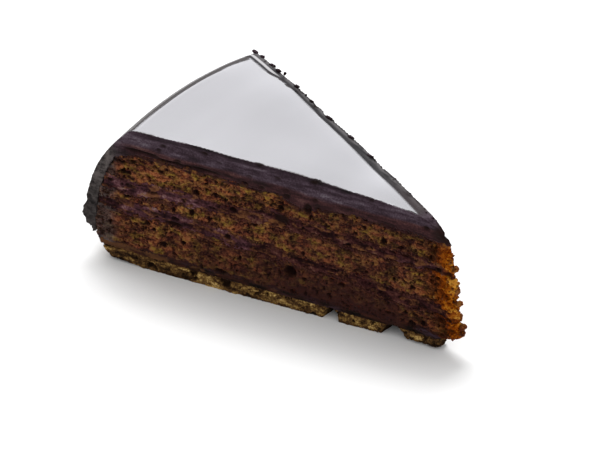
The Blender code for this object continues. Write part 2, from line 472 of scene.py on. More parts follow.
# %% Where on the cake
AXIS = Vector((60.9, 1.0, 0)) * MM   # the middle of the round cake that the slice was cut from
POINT_END = 11.5                     # where the point ends, past the axis, if it reached the ground
POINT_LEAN = 0.13                    # how far the point leans back, for each millimetre up


def from_axis(place):
    """How far a place is from the cake's axis, in millimetres."""
    flat = place.vector("SUBTRACT", AXIS).vector("MULTIPLY", (1, 1, 0))
    return flat.vector("LENGTH", output="Value") * (1 / MM)


def past_point(place):
    """How far a place is past the end of the point, in millimetres: below 0 inside the cake."""
    return place.vector("SUBTRACT", AXIS).dot((1 / MM, 0, POINT_LEAN / MM)) - POINT_END


# %% Colours
def stops(places, *colours):
    """A colour ramp: the places of its stops, from 0 to 1, and their colours from dark to light."""
    return tuple(zip(places, colours))


CRUMB_PLACES = 0.02, 0.36, 0.62, 0.98
SPONGE_STOPS = stops(CRUMB_PLACES, (0.019, 0.007, 0.005), (0.084, 0.031, 0.014),
                     (0.151, 0.061, 0.021), (0.267, 0.125, 0.035))
RUST_STOPS = stops(CRUMB_PLACES, (0.021, 0.007, 0.006), (0.090, 0.027, 0.015),
                   (0.168, 0.050, 0.021), (0.278, 0.099, 0.035))
OLIVE_STOPS = stops(CRUMB_PLACES, (0.016, 0.008, 0.003), (0.070, 0.034, 0.010),
                    (0.130, 0.070, 0.014), (0.238, 0.145, 0.023))
SPONGE_RED = (0.105, 0.036, 0.019)
SPONGE_DARK = (0.034, 0.012, 0.010)
SPONGE_GLOW = (3.0, 1.2, 0.5)        # red light travels further through crumb than green or blue
# colours of a painted glow at the point, for light from behind shining through the crumb
POINT_GLOW_STOPS = stops((0.05, 0.35, 0.60, 0.82, 1.00), (0.027, 0.007, 0.001), (0.112, 0.021, 0.001),
                    (0.224, 0.050, 0.002), (0.350, 0.115, 0.007), (0.500, 0.225, 0.030))
DARK_SMEAR = (0.026, 0.011, 0.012)
# nearly black: painted shade in pores, pits and hollows, and on the far side of the point
SHADE_BLACK = (0.012, 0.005, 0.004)
CREAM_STOPS = stops((0.10, 0.45, 0.75, 1.00), (0.010, 0.003, 0.003), (0.032, 0.009, 0.009),
                    (0.066, 0.022, 0.018), (0.128, 0.059, 0.037))
VIOLET_STOPS = stops((0.05, 0.45, 0.75, 1.00), (0.018, 0.007, 0.009), (0.059, 0.021, 0.026),
                     (0.119, 0.052, 0.059), (0.226, 0.136, 0.124))
FILLING_ENDS = (0.005, 0.002, 0.001), (0.046, 0.014, 0.009)
FILLING_VIOLET = (0.036, 0.020, 0.028)
BISCUIT_STOPS = stops((0.05, 0.40, 0.68, 0.98), (0.016, 0.008, 0.004), (0.082, 0.040, 0.015),
                      (0.218, 0.125, 0.037), (0.568, 0.376, 0.132))
CHOCOLATE_STOPS = stops((0.05, 0.45, 0.80, 1.00), (0.008, 0.005, 0.006), (0.029, 0.016, 0.023),
                        (0.062, 0.041, 0.055), (0.115, 0.092, 0.109))
POURED = (0.012, 0.006, 0.006)
SKIRT_ENDS = (0.008, 0.006, 0.006), (0.095, 0.080, 0.076)
# the lip's scraped streaks with a painted grey sheen, and a painted highlight on its ridge
LIP_SCRAPE_SHEEN_ENDS = (0.005, 0.004, 0.005), (0.095, 0.088, 0.090)
LIP_RED = (0.036, 0.020, 0.020)
LIP_RIDGE_HIGHLIGHT = (0.42, 0.41, 0.42)
print("the crumb is mixed from", len(SPONGE_STOPS), "browns")

# %% Sponge
def sponge_finish():
    """Torn cocoa sponge: pores painted black with shade, brown walls, golden crumbs, and a painted glow
    where the point is thin.
    """
    material, wires = new_material("sponge_crumb", Roughness=0.9, Specular_IOR_Level=0.03,
                                   Subsurface_Weight=0.25, Subsurface_Scale=1 * MM,
                                   Subsurface_Radius=SPONGE_GLOW)
    place = spot(wires)
    distance = from_axis(place)
    height = place.axis(2) * (1 / MM)

    # light and dark of every size, in patches of brown, rust and olive
    grain = place.stretched(1.0, 0.7).noise(0.7 * MM, detail=3.0)
    clouds = place.stretched(1.6, 0.8).noise(7 * MM)
    flecks = place.stretched(1.3, 0.8).noise(1.6 * MM)
    # painted shade and light: low relief is darker, high relief lighter
    relief = stored(wires, "relief") * 0.5
    light = relief + (grain - 0.5) * 1.5 + (flecks - 0.5) * 1.8 + (clouds - 0.5) * 1.1 + 0.43
    hue = place.stretched(1.5, 0.8).noise(2.8 * MM, detail=3.0)
    crumb = hue.step(0.50, 0.60).blend(light.ramp(SPONGE_STOPS), light.ramp(RUST_STOPS))
    crumb = hue.step(0.48, 0.38).blend(crumb, light.ramp(OLIVE_STOPS))

    # redder by the rim; darker towards the point, low down, and in the low corner at the rim
    redness = distance.step(114, 128) * 0.4
    darkness = distance.step(75, 50) * 0.33 + distance.step(112, 80) * height.step(22, 16) * 0.45
    darkness = darkness + distance.step(122, 112) * height.step(12, 9) * 0.2
    darkness = darkness * distance.step(4, 16, 0.25, 1.0)
    crumb = redness.blend(crumb, SPONGE_RED)
    crumb = darkness.blend(crumb, SPONGE_DARK)

    # what the knife smeared over it from its neighbours
    ragged = place.stretched(2.2, 0.8).noise(3 * MM, detail=4.0) - 0.5
    cream = (stored(wires, "cream_near") + ragged * 2.2).step(0.45, 0.75)
    crumb = (cream * 0.85).blend(crumb, grain.step(0.3, 0.7).blend(CREAM_STOPS[0][1], CREAM_STOPS[2][1]))
    chocolate = (stored(wires, "chocolate_near") + ragged * 2.2).step(0.55, 0.8)
    crumb = (chocolate * 0.85).blend(crumb, DARK_SMEAR)
    by_rim = (distance + ragged * 7.0).step(120.5, 124.5)
    crumb = (by_rim * 0.7).blend(crumb, light.blend(*SKIRT_ENDS))
    # pores painted nearly black with the shade inside them
    crumb = stored(wires, "pore").blend(crumb, SHADE_BLACK)

    # painted glow: orange colour stands in for light from behind shining through the thin point, most of
    # all halfway up
    sideways = (place.axis(1) - AXIS.y) * (0.8 / MM)
    past = past_point(place) + sideways + ragged * 4.0 + 1.3
    shade = height.step(17.0, 8.0) * 0.26 + height.step(31.0, 38.0) * 0.14 + 0.18
    painted_point_glow = (light * 0.6 + past.step(-10.0, 0.5) * 0.75 - shade).ramp(POINT_GLOW_STOPS)
    halfway = (height - 25.0).size().step(14.0, 4.0) * 2.5
    # where the painted glow covers the crumb
    thin = (past + halfway).step(-17.0, -1.5) * height.step(46, 40) * (1 - stored(wires, "cut") * 0.75)
    fine = grain + place.noise(0.3 * MM) * 0.5
    return finish(material, fine, 0.25 * MM, Base_Color=thin.blend(crumb, painted_point_glow))


sponge_look = sponge_finish()

# %% [markdown]
# The creams are cocoa butter cream with a violet tinge. A knife drags them over the sponge's pores, so
# their patterns are drawn out along the layer. The dark filling is a thin, moist jam that went nearly
# black. The biscuit base is pressed crumbs of a plain olive-gold biscuit, each of its own shade, so its
# colour comes from cells and not from clouds.

# %% Cream, filling and biscuit
def cream_finish():
    """Smeared butter cream: red brown to violet, smoother than sponge, with crumbs dragged into it."""
    material, wires = new_material("chocolate_cream", Roughness=0.7, Specular_IOR_Level=0.03)
    place = spot(wires)
    distance = from_axis(place)
    smear = place.stretched(3.0, 1.0).noise(2.2 * MM, detail=4.0)
    grain = place.noise(0.8 * MM, detail=3.0)
    low_down = place.axis(2).step(30 * MM, 24 * MM) * 0.1 + distance.step(60, 35) * 0.05
    # painted shade and light: low relief is darker, high relief lighter
    light = (smear - 0.5) * 2.4 + (grain - 0.5) * 1.1 + stored(wires, "relief") * 0.4 + 0.45 - low_down
    patches = place.stretched(2.0, 1.0).noise(11 * MM) + distance.step(50, 105) * 0.25
    colour = patches.step(0.55, 0.72).blend(light.ramp(CREAM_STOPS), light.ramp(VIOLET_STOPS))
    crumbs = place.stretched(1.8, 0.9).noise(2.6 * MM, detail=3.0).step(0.52, 0.60)
    colour = (crumbs * 0.8).blend(colour, light.ramp(SPONGE_STOPS[:3]))
    # pores painted nearly black with the shade inside them
    colour = stored(wires, "pore").blend(colour, SHADE_BLACK)
    # painted glow: near the point the cream takes the colour of light shining through from behind
    thin = (past_point(place) + (smear - 0.5) * 8.0).step(-6.0, -1.0) * 0.85
    colour = thin.blend(colour, (light + 0.05).ramp(POINT_GLOW_STOPS))
    return finish(material, grain + smear, 0.2 * MM, Base_Color=colour)


def filling_finish():
    """A thin moist filling: nearly black, with a little shine where it is smooth."""
    material, wires = new_material("moist_filling", Specular_IOR_Level=0.06)
    place = spot(wires)
    smear = place.stretched(4.0, 1.0).noise(1.8 * MM, detail=3.0)
    colour = smear.step(0.35, 0.75).blend(*FILLING_ENDS)
    violet = place.stretched(2.0, 1.0).noise(9 * MM, detail=1.0).step(0.58, 0.70) * smear.step(0.4, 0.6)
    colour = violet.blend(colour, FILLING_VIOLET)
    crumbs = from_axis(place).step(88, 122) * 0.35 + place.stretched(2.0, 1.0).noise(4 * MM, detail=3.0)
    colour = crumbs.step(0.62, 0.74).blend(colour, smear.blend(SPONGE_STOPS[0][1], SPONGE_STOPS[2][1]))
    return finish(material, smear, 0.3 * MM, Base_Color=colour, Roughness=smear.step(0.3, 0.7, 0.35, 0.65))


def biscuit_finish():
    """Pressed biscuit: crumbs of many shades of olive gold, with dark joints between them."""
    material, wires = new_material("pressed_biscuit", Roughness=0.9, Specular_IOR_Level=0.03)
    place = spot(wires)
    shade = place.stretched(1.8, 1.0).cells(1.0 * MM).also("Color").axis(0)
    grain = place.noise(0.5 * MM, detail=3.0)
    clouds = place.stretched(2.6, 0.8).noise(3.2 * MM, detail=3.0)
    # painted shade and light: low relief is darker, high relief lighter
    relief = stored(wires, "relief") * 0.3
    light = shade * 0.4 + (grain - 0.5) * 1.2 + (clouds - 0.5) * 2.0 + relief + 0.22
    # pores painted dark with the shade inside them
    colour = stored(wires, "pore").blend(light.ramp(BISCUIT_STOPS), BISCUIT_STOPS[0][1])
    return finish(material, grain, 0.25 * MM, Base_Color=colour)


cream_look = cream_finish()
filling_look = filling_finish()
biscuit_look = biscuit_finish()

# %% [markdown]
# The coating is dark chocolate. Poured, it set to a mirror, so its top and rim are nearly black with a
# low roughness and owe all their brightness to what they reflect. Cut, it is matt, greyer and streaked
# by the knife. One solid shows both, and the tree that shapes it stores which is which as *cut*.

# %% Chocolate
def chocolate_finish():
    """Dark chocolate: under a mirror coat where it was poured, matt and streaked where it was cut."""
    material, wires = new_material("dark_chocolate", Roughness=0.5, Specular_IOR_Level=0.05,
                                   Coat_Roughness=0.08, Coat_IOR=1.5)
    place = spot(wires)
    cut = stored(wires, "cut")
    distance = from_axis(place)
    height = place.axis(2) * (1 / MM)

    # streaks of the knife, paler halfway down the cut, which leaves painted shade in the seam with the
    # sponge below, paler near the rim, and red where cream got into it
    streaks = place.stretched(5.0, 1.0).noise(1.6 * MM, detail=4.0)
    grain = place.noise(0.6 * MM, detail=3.0)
    clouds = place.stretched(2.5, 1.0).noise(8 * MM)
    # painted shade: only the middle of the band is lifted, so its lower edge by the sponge stays dark
    middle = height.step(53.8, 52.6) * height.step(46.5, 49.0) * 0.26
    near_rim = distance.step(98, 112) * height.step(45, 49) * 0.3
    skirt = distance.step(119, 126) * height.step(48, 44)
    light = (streaks - 0.5) * 1.6 + (grain - 0.5) * 0.8 + (clouds - 0.5) * 0.8 + middle + near_rim + 0.28
    light = light + skirt * ((place.noise(2 * MM, detail=3.0) - 0.5) * 2.6 + 0.3)
    red_zone = (height + (clouds - 0.5) * 5.0).step(49.2, 47.6) * distance.step(124, 114)
    red_light = (light + 0.1).ramp(CREAM_STOPS)
    cut_colour = (red_zone * 0.75).blend(light.ramp(CHOCOLATE_STOPS), red_light)

    # the lip is scraped along its length and redder at the point; its grey, lighter towards the outer
    # edge, is partly a painted sheen, and the bright ridge in the far corner is a painted highlight
    across = stored(wires, "across_lip")
    drawn = wires.joined(distance * 0.15, across * 2.2, 0.0)
    streaks_and_sheen = drawn.noise(1.0, detail=4.0).step(0.35, 0.6) * across.step(0.35, 0.95, 0.1, 1.0)
    lip_colour = (distance.step(34, 10) * 0.5).blend(streaks_and_sheen.blend(*LIP_SCRAPE_SHEEN_ENDS), LIP_RED)
    ridge_highlight = across.step(0.3, 0.42) * across.step(0.66, 0.54) * distance.step(98, 104)
    lip_colour = (ridge_highlight * 0.9).blend(lip_colour, LIP_RIDGE_HIGHLIGHT)
    cut_colour = stored(wires, "lip").blend(cut_colour, lip_colour)

    # painted shade: nearly black past the point, where the far side of the cut lies in shade, and in pits;
    # and grey nubs on the skirt that hangs down over the rim
    point_end_shade = past_point(place).step(-8.5, -5.0) * height.step(43, 46) * 0.85
    cut_colour = point_end_shade.blend(cut_colour, SHADE_BLACK)
    cut_colour = stored(wires, "pore").blend(cut_colour, SHADE_BLACK)
    nubs = light * height.step(22, 34, 0.45, 1.0)
    cut_colour = skirt.blend(cut_colour, nubs.blend(*SKIRT_ENDS))

    # the mirror coat is a little thinner away from the point, dusty, and dulls over the rim's shoulder
    dust = place.noise(9 * MM, detail=5.0, roughness=0.6).step(0.3, 0.7, 0.985, 1.0)
    swell = (distance - 86).size().step(11, 0) * 0.095 - (distance - 98).size().step(9, 0) * 0.03
    swell = swell + distance.step(84, 106) * 0.02
    mirror = (distance.step(66, 14, 0.825, 1.0) + swell) * distance.step(113.5, 120.5, 1.0, 0.3)
    coat = (1 - cut) * dust * mirror * past_point(place).step(-4.0, -7.5)
    fine = cut * (streaks + grain * 0.6)
    return finish(material, fine, 0.18 * MM, Base_Color=cut.blend(POURED, cut_colour), Coat_Weight=coat)


chocolate_look = chocolate_finish()

# %% [markdown]
# ## Torn surfaces
#
# A knife tears sponge, so the cut is full of lumps, pores and little pits, drawn out a bit along the
# layer. Sculpting them by hand would take hours, and a bump map alone would leave the outline smooth.
# One geometry tree pushes the fine mesh in and out instead, with its sizes as named inputs, so that
# sponge, cream, filling and biscuit are the same rule with other numbers.
#
# Neighbours meet unevenly, too. The tree lets the hidden faces of each layer reach a little into the
# next, and waves all seams alike, so whichever layer stands out further at a spot is the one that shows.

# %% The tree of torn crumb
def torn_tree():
    numbers = ("Reach", "Wave", "Lump Size", "Lump Depth", "Crumb Size", "Crumb Depth",
               "Pore Size", "Pore Depth", "Pore Share", "Stretch", "Recess", "Seed")
    tree, given = new_tree("torn surface", numbers)
    wires = Wire(tree)
    place = wires.add("GeometryNodeInputPosition")
    normal = wires.add("GeometryNodeInputNormal")
    shift = wires.joined(given["Seed"], given["Seed"] * 0.7, 0.0)
    pattern = place.vector("MULTIPLY_ADD", wires.joined(1.0, 1.0, given["Stretch"]), shift)
    bent = pattern.vector("ADD", pattern.swirls(given["Pore Size"]).scaled(given["Pore Size"] * 1.5))

    def pores(size, share):
        cell = bent.cells(size)
        chance = cell.also("Color").axis(0)
        width = cell.also("Color").axis(1) * 0.28 + 0.22
        return (cell / width).step(1.0, 0.55) * chance.math("LESS_THAN", share)

    small = pores(given["Pore Size"], given["Pore Share"])
    large = pores(given["Pore Size"] * 2.6, given["Pore Share"] * 0.55)
    hollow = small * given["Pore Depth"] + large * given["Pore Depth"] * 1.8
    past = past_point(place)
    lumps = pattern.waves(given["Lump Size"]) * given["Lump Depth"] * past.step(-5.0, -1.0, 1.0, 1.7)
    relief = lumps + pattern.waves(given["Crumb Size"], 3.0) * given["Crumb Depth"] - hollow

    wall = normal.axis(2).size().step(0.95, 0.75)
    height = place.axis(2)
    within = height.step(9 * MM, 14 * MM) * height.step(50 * MM, 46 * MM)
    wave = place.stretched(1.0, 2.5).waves(9 * MM) * given["Wave"] * within
    out = (relief - given["Recess"]) * wall + given["Reach"] * (1 - wall)
    moved = place.vector("ADD", normal.scaled(out))
    at_point = past.step(-7.0, 0.0)
    undercut = at_point * height.step(12 * MM, 7 * MM) * 2.0 * MM
    shoulder = at_point * height.step(38 * MM, 46 * MM) * -2.2 * MM
    drift = wires.joined(shoulder, 0.0, wave + undercut)
    above_table = moved.vector("ADD", drift).vector("MAXIMUM", (-1.0, -1.0, 0.0))

    # the pore mark tells the materials where to paint shade
    piece = kept(given["Geometry"], relief=relief * (1 / MM), pore=small.larger(large) * wall,
                 wall=wall * past.step(-6.0, -1.0, 1.0, 4.0))
    end_tree(shaped(piece, Position=above_table), given["Material"])
    return tree


torn = torn_tree()
print("the tree has", len(torn.nodes), "nodes")

# %% The layers
SEAM_WAVE = 1.7 * MM                 # shared by all layers, or they would part
SEED_STEP = 0.031                    # how far apart, in metres, two layers read their patterns
PLAIN = ("Pore Share", "Stretch", "Density", "Flatness")     # numbers that aren't lengths


def sizes(**numbers):
    """A tree's numbers by the names of its inputs, from lengths in millimetres and plain numbers."""
    values = {name.replace("_", " "): number for name, number in numbers.items()}
    return {name: value if name in PLAIN else value * MM for name, value in values.items()}


SPONGE_SIZES = sizes(Reach=0.75, Lump_Size=6, Lump_Depth=1.3, Crumb_Size=1.6, Crumb_Depth=1.0,
                     Pore_Size=1.3, Pore_Depth=0.8, Pore_Share=0.6, Stretch=1.35, Recess=0.0)
CREAM_SIZES = sizes(Reach=0.75, Lump_Size=5, Lump_Depth=1.3, Crumb_Size=1.7, Crumb_Depth=0.7,
                    Pore_Size=1.6, Pore_Depth=0.7, Pore_Share=0.3, Stretch=2.0, Recess=0.2)
FILLING_SIZES = sizes(Reach=0.30, Lump_Size=6, Lump_Depth=0.6, Crumb_Size=2.0, Crumb_Depth=0.35,
                      Pore_Size=2.0, Pore_Depth=0.4, Pore_Share=0.15, Stretch=2.0, Recess=0.2)
BISCUIT_SIZES = sizes(Reach=0.20, Lump_Size=4, Lump_Depth=1.0, Crumb_Size=1.5, Crumb_Depth=0.9,
                      Pore_Size=2.1, Pore_Depth=0.9, Pore_Share=0.4, Stretch=1.1, Recess=0.1)

LAYERS = (
    ("biscuit_base", "base_biscuit", "biscuit", BISCUIT_SIZES, biscuit_look),
    ("filling_layer", "dark_filling", "dark_filling", FILLING_SIZES, filling_look),
    ("bottom_sponge", "sponge_bottom", "sponge", SPONGE_SIZES, sponge_look),
    ("lower_cream", "cream_lower", "cream", CREAM_SIZES, cream_look),
    ("middle_sponge", "sponge_middle", "sponge", SPONGE_SIZES, sponge_look),
    ("upper_cream", "cream_upper", "cream", CREAM_SIZES, cream_look),
    ("top_sponge", "sponge_top", "sponge", SPONGE_SIZES, sponge_look),
)
SPONGES = ("bottom_sponge", "middle_sponge", "top_sponge")
SMEAR_LENGTH = 2.6 * MM              # how far a neighbour is smeared over sponge


def mark_near(piece, label, nodes):
    """Stores how near each point is to some layers: 1 beside them, 0 a smear's length away."""
    trees = [BVHTree.FromBMesh(merged(node)) for node in nodes]
    nearness = piece.data.attributes.new(label, "FLOAT", "POINT")
    for vertex, mark in zip(piece.data.vertices, nearness.data):
        gap = min((tree.find_nearest(vertex.co)[3] for tree in trees), default=SMEAR_LENGTH)
        mark.value = max(0.0, 1 - gap / SMEAR_LENGTH)


layers = {}
for number, (name, node, slot, values, look) in enumerate(LAYERS):
    piece = fine_layer(name, node)
    if name in SPONGES:
        mark_near(piece, "cream_near", ("cream_lower", "cream_upper"))
        mark_near(piece, "chocolate_near", ("dark_filling", "chocolate_coating"))
    extra = {"Wave": SEAM_WAVE, "Seed": SEED_STEP * number, "Material": look}
    grow(piece, torn, {**values, **extra})
    layers[name] = piece
    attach(piece, "root")
    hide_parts(node)
    print(name, "has", len(piece.data.polygons), "faces")

# %% [markdown]
# Noise puts no single feature in its own place. A few are large enough to be seen from afar: big pores,
# gaps where the coating lifted off the sponge, and two chips missing from the brittle base. Each is a soft
# hollow in the front cut, pressed into all layers alike, given by where it is, and painted dark with the
# shade that falls in it.

# %% Hollows in the front cut
HOLLOWS = (
    # distance from the axis, height, half length, half height, depth, in millimetres
    (55.9, 14.7, 2.9, 2.7, 3.2),
    (60.0, 39.4, 1.9, 1.4, 2.0),
    (59.5, 35.0, 3.4, 2.4, 0.9),
    (79.8, 22.0, 1.5, 1.3, 1.8),
    (49.6, 42.2, 1.9, 2.6, 1.4),
    (9.6, 7.2, 1.8, 1.6, 1.6),
    (82.0, 7.6, 3.2, 1.1, 1.5),
    (112.5, 46.9, 8.0, 0.7, 1.3),
    (101.0, 46.1, 8.0, 0.6, 1.3),
    (89.0, 46.5, 8.0, 0.7, 1.2),
    (119.0, 37.0, 3.0, 1.1, 1.6),
    (121.0, 41.0, 2.6, 0.9, 1.3),
    (100.0, 21.5, 5.0, 0.8, 0.8),
    (-6.0, 3.2, 1.7, 2.2, 5.0),
    (16.5, 0.4, 4.6, 4.2, 9.0),
    (40.2, 0.3, 3.0, 4.4, 8.0),
)
FRONT_ANGLE = math.radians(16.5)     # each cut's angle to the middle of the slice
BACK_ANGLE = math.radians(15.8)
front_along = Vector((-math.cos(FRONT_ANGLE), -math.sin(FRONT_ANGLE), 0))
front_out = Vector((math.sin(FRONT_ANGLE), -math.cos(FRONT_ANGLE), 0))
back_out = Vector((math.sin(BACK_ANGLE), math.cos(BACK_ANGLE), 0))
FRONT_DEPTH = 7 * MM                 # how far behind the front cut a point still belongs to it
HOLLOW_STEEPNESS = 1.2
HOLLOW_SHADE = 1.8


def press(piece, hollows):
    """Pushes hollows into the front cut of a piece, and paints shade into them."""
    mesh = piece.data
    places = np.empty(3 * len(mesh.vertices))
    mesh.vertices.foreach_get("co", places)
    places = places.reshape(-1, 3)
    dark = np.empty(len(places))
    mesh.attributes["pore"].data.foreach_get("value", dark)
    offset = places - np.array(AXIS)
    along = offset @ np.array(front_along) / MM
    in_front = offset @ np.array(front_out) > -FRONT_DEPTH
    for distance, height, half_length, half_height, depth in hollows:
        across = (along - distance) / half_length
        up = (places[:, 2] / MM - height) / half_height
        hollow = np.clip(1 - across ** 2 - up ** 2, 0, 1) ** HOLLOW_STEEPNESS * in_front
        places -= np.outer(hollow * depth * MM, np.array(front_out))
        # painted shade in the hollow
        dark = np.maximum(dark, np.clip(hollow * HOLLOW_SHADE, 0, 1))
    mesh.vertices.foreach_set("co", places.ravel())
    mesh.attributes["pore"].data.foreach_set("value", dark)
    mesh.update()


for piece in layers.values():
    press(piece, HOLLOWS)
print(len(HOLLOWS), "hollows are pressed into the front cut")

# %% [markdown]
# ## The poured coating
#
# Poured chocolate is so smooth that the top mirrors the light behind the cake, and any facet would show
# as a kink in the mirror. The ready-made block is too coarse for that. A subdivision surface rounds it,
# with its cut edges kept sharp by creases. The cuts and the lumpy bead low on the rim need fine relief,
# so the rounded block is remeshed evenly and every point is then settled back onto it.

# %% Round the block
COATING_MESH = 0.46 * MM
SHARP = math.radians(32)             # edges that bend more than this are edges of the cut
BENT = math.radians(10)              # edges of the shoulder, which stay fairly tight
BENT_CREASE = 0.6
ROUNDING_LEVELS = 3
SOFTENING = 1                        # round of smoothing, which takes the edge off the cut
SHAPE_LIMIT = 1.2                    # how far two triangles may be from a square and still be joined


def rounded_block(name, node):
    """A smooth copy of a faceted block, with its sharp edges kept."""
    block = merged(node)
    bmesh.ops.join_triangles(block, faces=block.faces, angle_face_threshold=SHARP,
                             angle_shape_threshold=SHAPE_LIMIT)
    crease = block.edges.layers.float.new("crease_edge")
    for edge in block.edges:
        angle = edge.calc_face_angle(0.0)
        if angle > SHARP:
            edge[crease] = 1.0
        elif angle > BENT:
            edge[crease] = BENT_CREASE
    piece = new_object(name, block)
    rounding = piece.modifiers.new("rounding", "SUBSURF")
    rounding.levels = ROUNDING_LEVELS
    rounding.render_levels = ROUNDING_LEVELS
    return applied(piece)


def settled(piece, spacing):
    """Gives a smooth piece an even mesh whose points lie on its old surface."""
    guide = piece.copy()
    bpy.context.scene.collection.objects.link(guide)
    remeshed(piece, spacing)
    settle = piece.modifiers.new("settle", "SHRINKWRAP")
    settle.target = guide
    soften = piece.modifiers.new("soften", "SMOOTH")
    soften.iterations = SOFTENING
    applied(piece)
    bpy.data.objects.remove(guide)
    return piece


coating = settled(rounded_block("poured_coating", "chocolate_coating"), COATING_MESH)
dissolve_hidden(coating, -1)
print(coating.name, "has", len(coating.data.polygons), "faces")

# %% [markdown]
# The tree below knows the coating's parts by the way they face: the cuts face to the front and the back,
# the top faces up, and the rim faces away from the cake's axis. The knife left streaks and pits on the
# cuts and dragged the far edge of the top down into a soft lip. What ran down the rim set as a wavy
# bead with nubs.

# %% The tree of poured chocolate
def poured_tree():
    numbers = ("Streak Depth", "Pit Size", "Pit Depth", "Lip Width", "Lip Drop", "Bead Top", "Nub Size",
               "Nub Height", "Foot Wave", "Foot Drop", "Wave", "Top Wave", "Reach")
    tree, given = new_tree("poured chocolate", numbers)
    wires = Wire(tree)
    place = wires.add("GeometryNodeInputPosition")
    normal = wires.add("GeometryNodeInputNormal")
    height = place.axis(2)
    from_middle = place.vector("SUBTRACT", AXIS).vector("MULTIPLY", (1, 1, 0))
    distance = from_middle.vector("LENGTH", output="Value")

    # which part of the coating a point belongs to
    upright = normal.axis(2)
    to_rim = from_middle.vector("NORMALIZE").dot(normal)
    point = distance.step(7.5 * MM, 6 * MM) * upright.size().step(0.65, 0.5)
    to_back = normal.dot(tuple(back_out))
    sides = normal.dot(tuple(front_out)).step(0.2, 0.36).larger(to_back.step(0.72, 0.85))
    top = upright.step(0.5, 0.8)
    rim = to_rim.step(0.3, 0.6) * (1 - top)
    inner = to_rim.step(-0.5, -0.8) * distance.step(90 * MM, 100 * MM)
    under = upright.step(-0.75, -0.95)

    # the lip along the far edge is narrower towards the rim, but for the far corner
    corner_spot = distance.step(98 * MM, 106 * MM)
    narrow = distance.step(25 * MM, 95 * MM, 0.96, 0.60) + corner_spot * 0.36
    on_lip = from_middle.dot(tuple(back_out)) / (given["Lip Width"] * narrow) + 1.0
    on_lip = on_lip.larger(0.0).math("MINIMUM", 1.2)
    dragged = on_lip.step(0.0, 0.15) * upright.step(0.2, 0.5)
    ragged = place.noise(8 * MM, detail=1.0).step(0.3, 0.7, 0.88, 1.12)
    lip = on_lip * on_lip.step(0.0, 0.35) * given["Lip Drop"] * ragged * (1 - corner_spot * 0.7)

    # streaks and pits on the cuts, nubs on the bead low on the rim
    cut = sides.larger(point).larger(dragged)
    streaks = place.stretched(6.0, 1.0).noise(2.5 * MM, detail=3.0) - 0.5
    cell = place.stretched(1.6, 0.8).cells(given["Pit Size"])
    pit = cell.step(0.42, 0.15) * cell.also("Color").axis(0).math("LESS_THAN", 0.4)
    relief = (streaks * 2.0 * given["Streak Depth"] - pit * given["Pit Depth"]) * cut * (1 - under)
    bead = height.step(given["Bead Top"], given["Bead Top"] * 0.7)
    nubs = (place.stretched(1.0, 0.8).noise(given["Nub Size"]) - 0.47) * 2.0
    rim_relief = bead * nubs * given["Nub Height"] + place.waves(16 * MM, 1.0) * given["Wave"]
    out = relief + rim_relief * rim * (1 - under) + given["Reach"] * under.larger(inner)

    # the top swells a little, and the foot of the coating ran down unevenly
    swell = place.waves(30 * MM, 1.0) * given["Top Wave"]
    ran = place.waves(6 * MM) * given["Foot Wave"]
    corner = from_middle.dot(tuple(front_out)).step(-26 * MM, -6 * MM) * given["Foot Drop"]
    upward = top * (swell - lip) + height.step(26 * MM, 12 * MM) * (ran - corner)
    moved = place.vector("ADD", normal.scaled(out)).vector("ADD", wires.joined(0.0, 0.0, upward))

    near_rim = distance.step(70 * MM, 112 * MM, 0.35, 1.0)
    littered = on_lip.step(0.6, 0.95) * height.step(49 * MM, 51 * MM) * near_rim
    # pits are marked as pores, for painted shade
    piece = kept(given["Geometry"], relief=relief * (1 / MM), pore=pit * cut, cut=cut, across_lip=on_lip,
                 lip=dragged * distance.step(5 * MM, 9 * MM), wall=littered)
    end_tree(shaped(piece, Position=moved), given["Material"])
    return tree


COATING_SIZES = sizes(Streak_Depth=0.35, Pit_Size=3.2, Pit_Depth=0.7, Lip_Width=4.9, Lip_Drop=0.75,
                      Bead_Top=27, Nub_Size=4.0, Nub_Height=2.4, Foot_Wave=1.5, Foot_Drop=3.5,
                      Wave=0.35, Top_Wave=0.015, Reach=0.5)
grow(coating, poured_tree(), {**COATING_SIZES, "Material": chocolate_look})
press(coating, HOLLOWS)
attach(coating, "root")
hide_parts("chocolate_coating")
print("the coating is shaped")

# %% [markdown]
# ## Loose crumbs
#
# A torn cut is never clean: crumbs cling to it, and the knife leaves bits of chocolate along the far
# edge of the top. Hundreds are too many to place by hand. A third tree scatters little round lumps over
# the walls of a piece, turns each its own way, makes them real, and only then bends them all with one
# noise, so that no two are alike although they start as one shape.

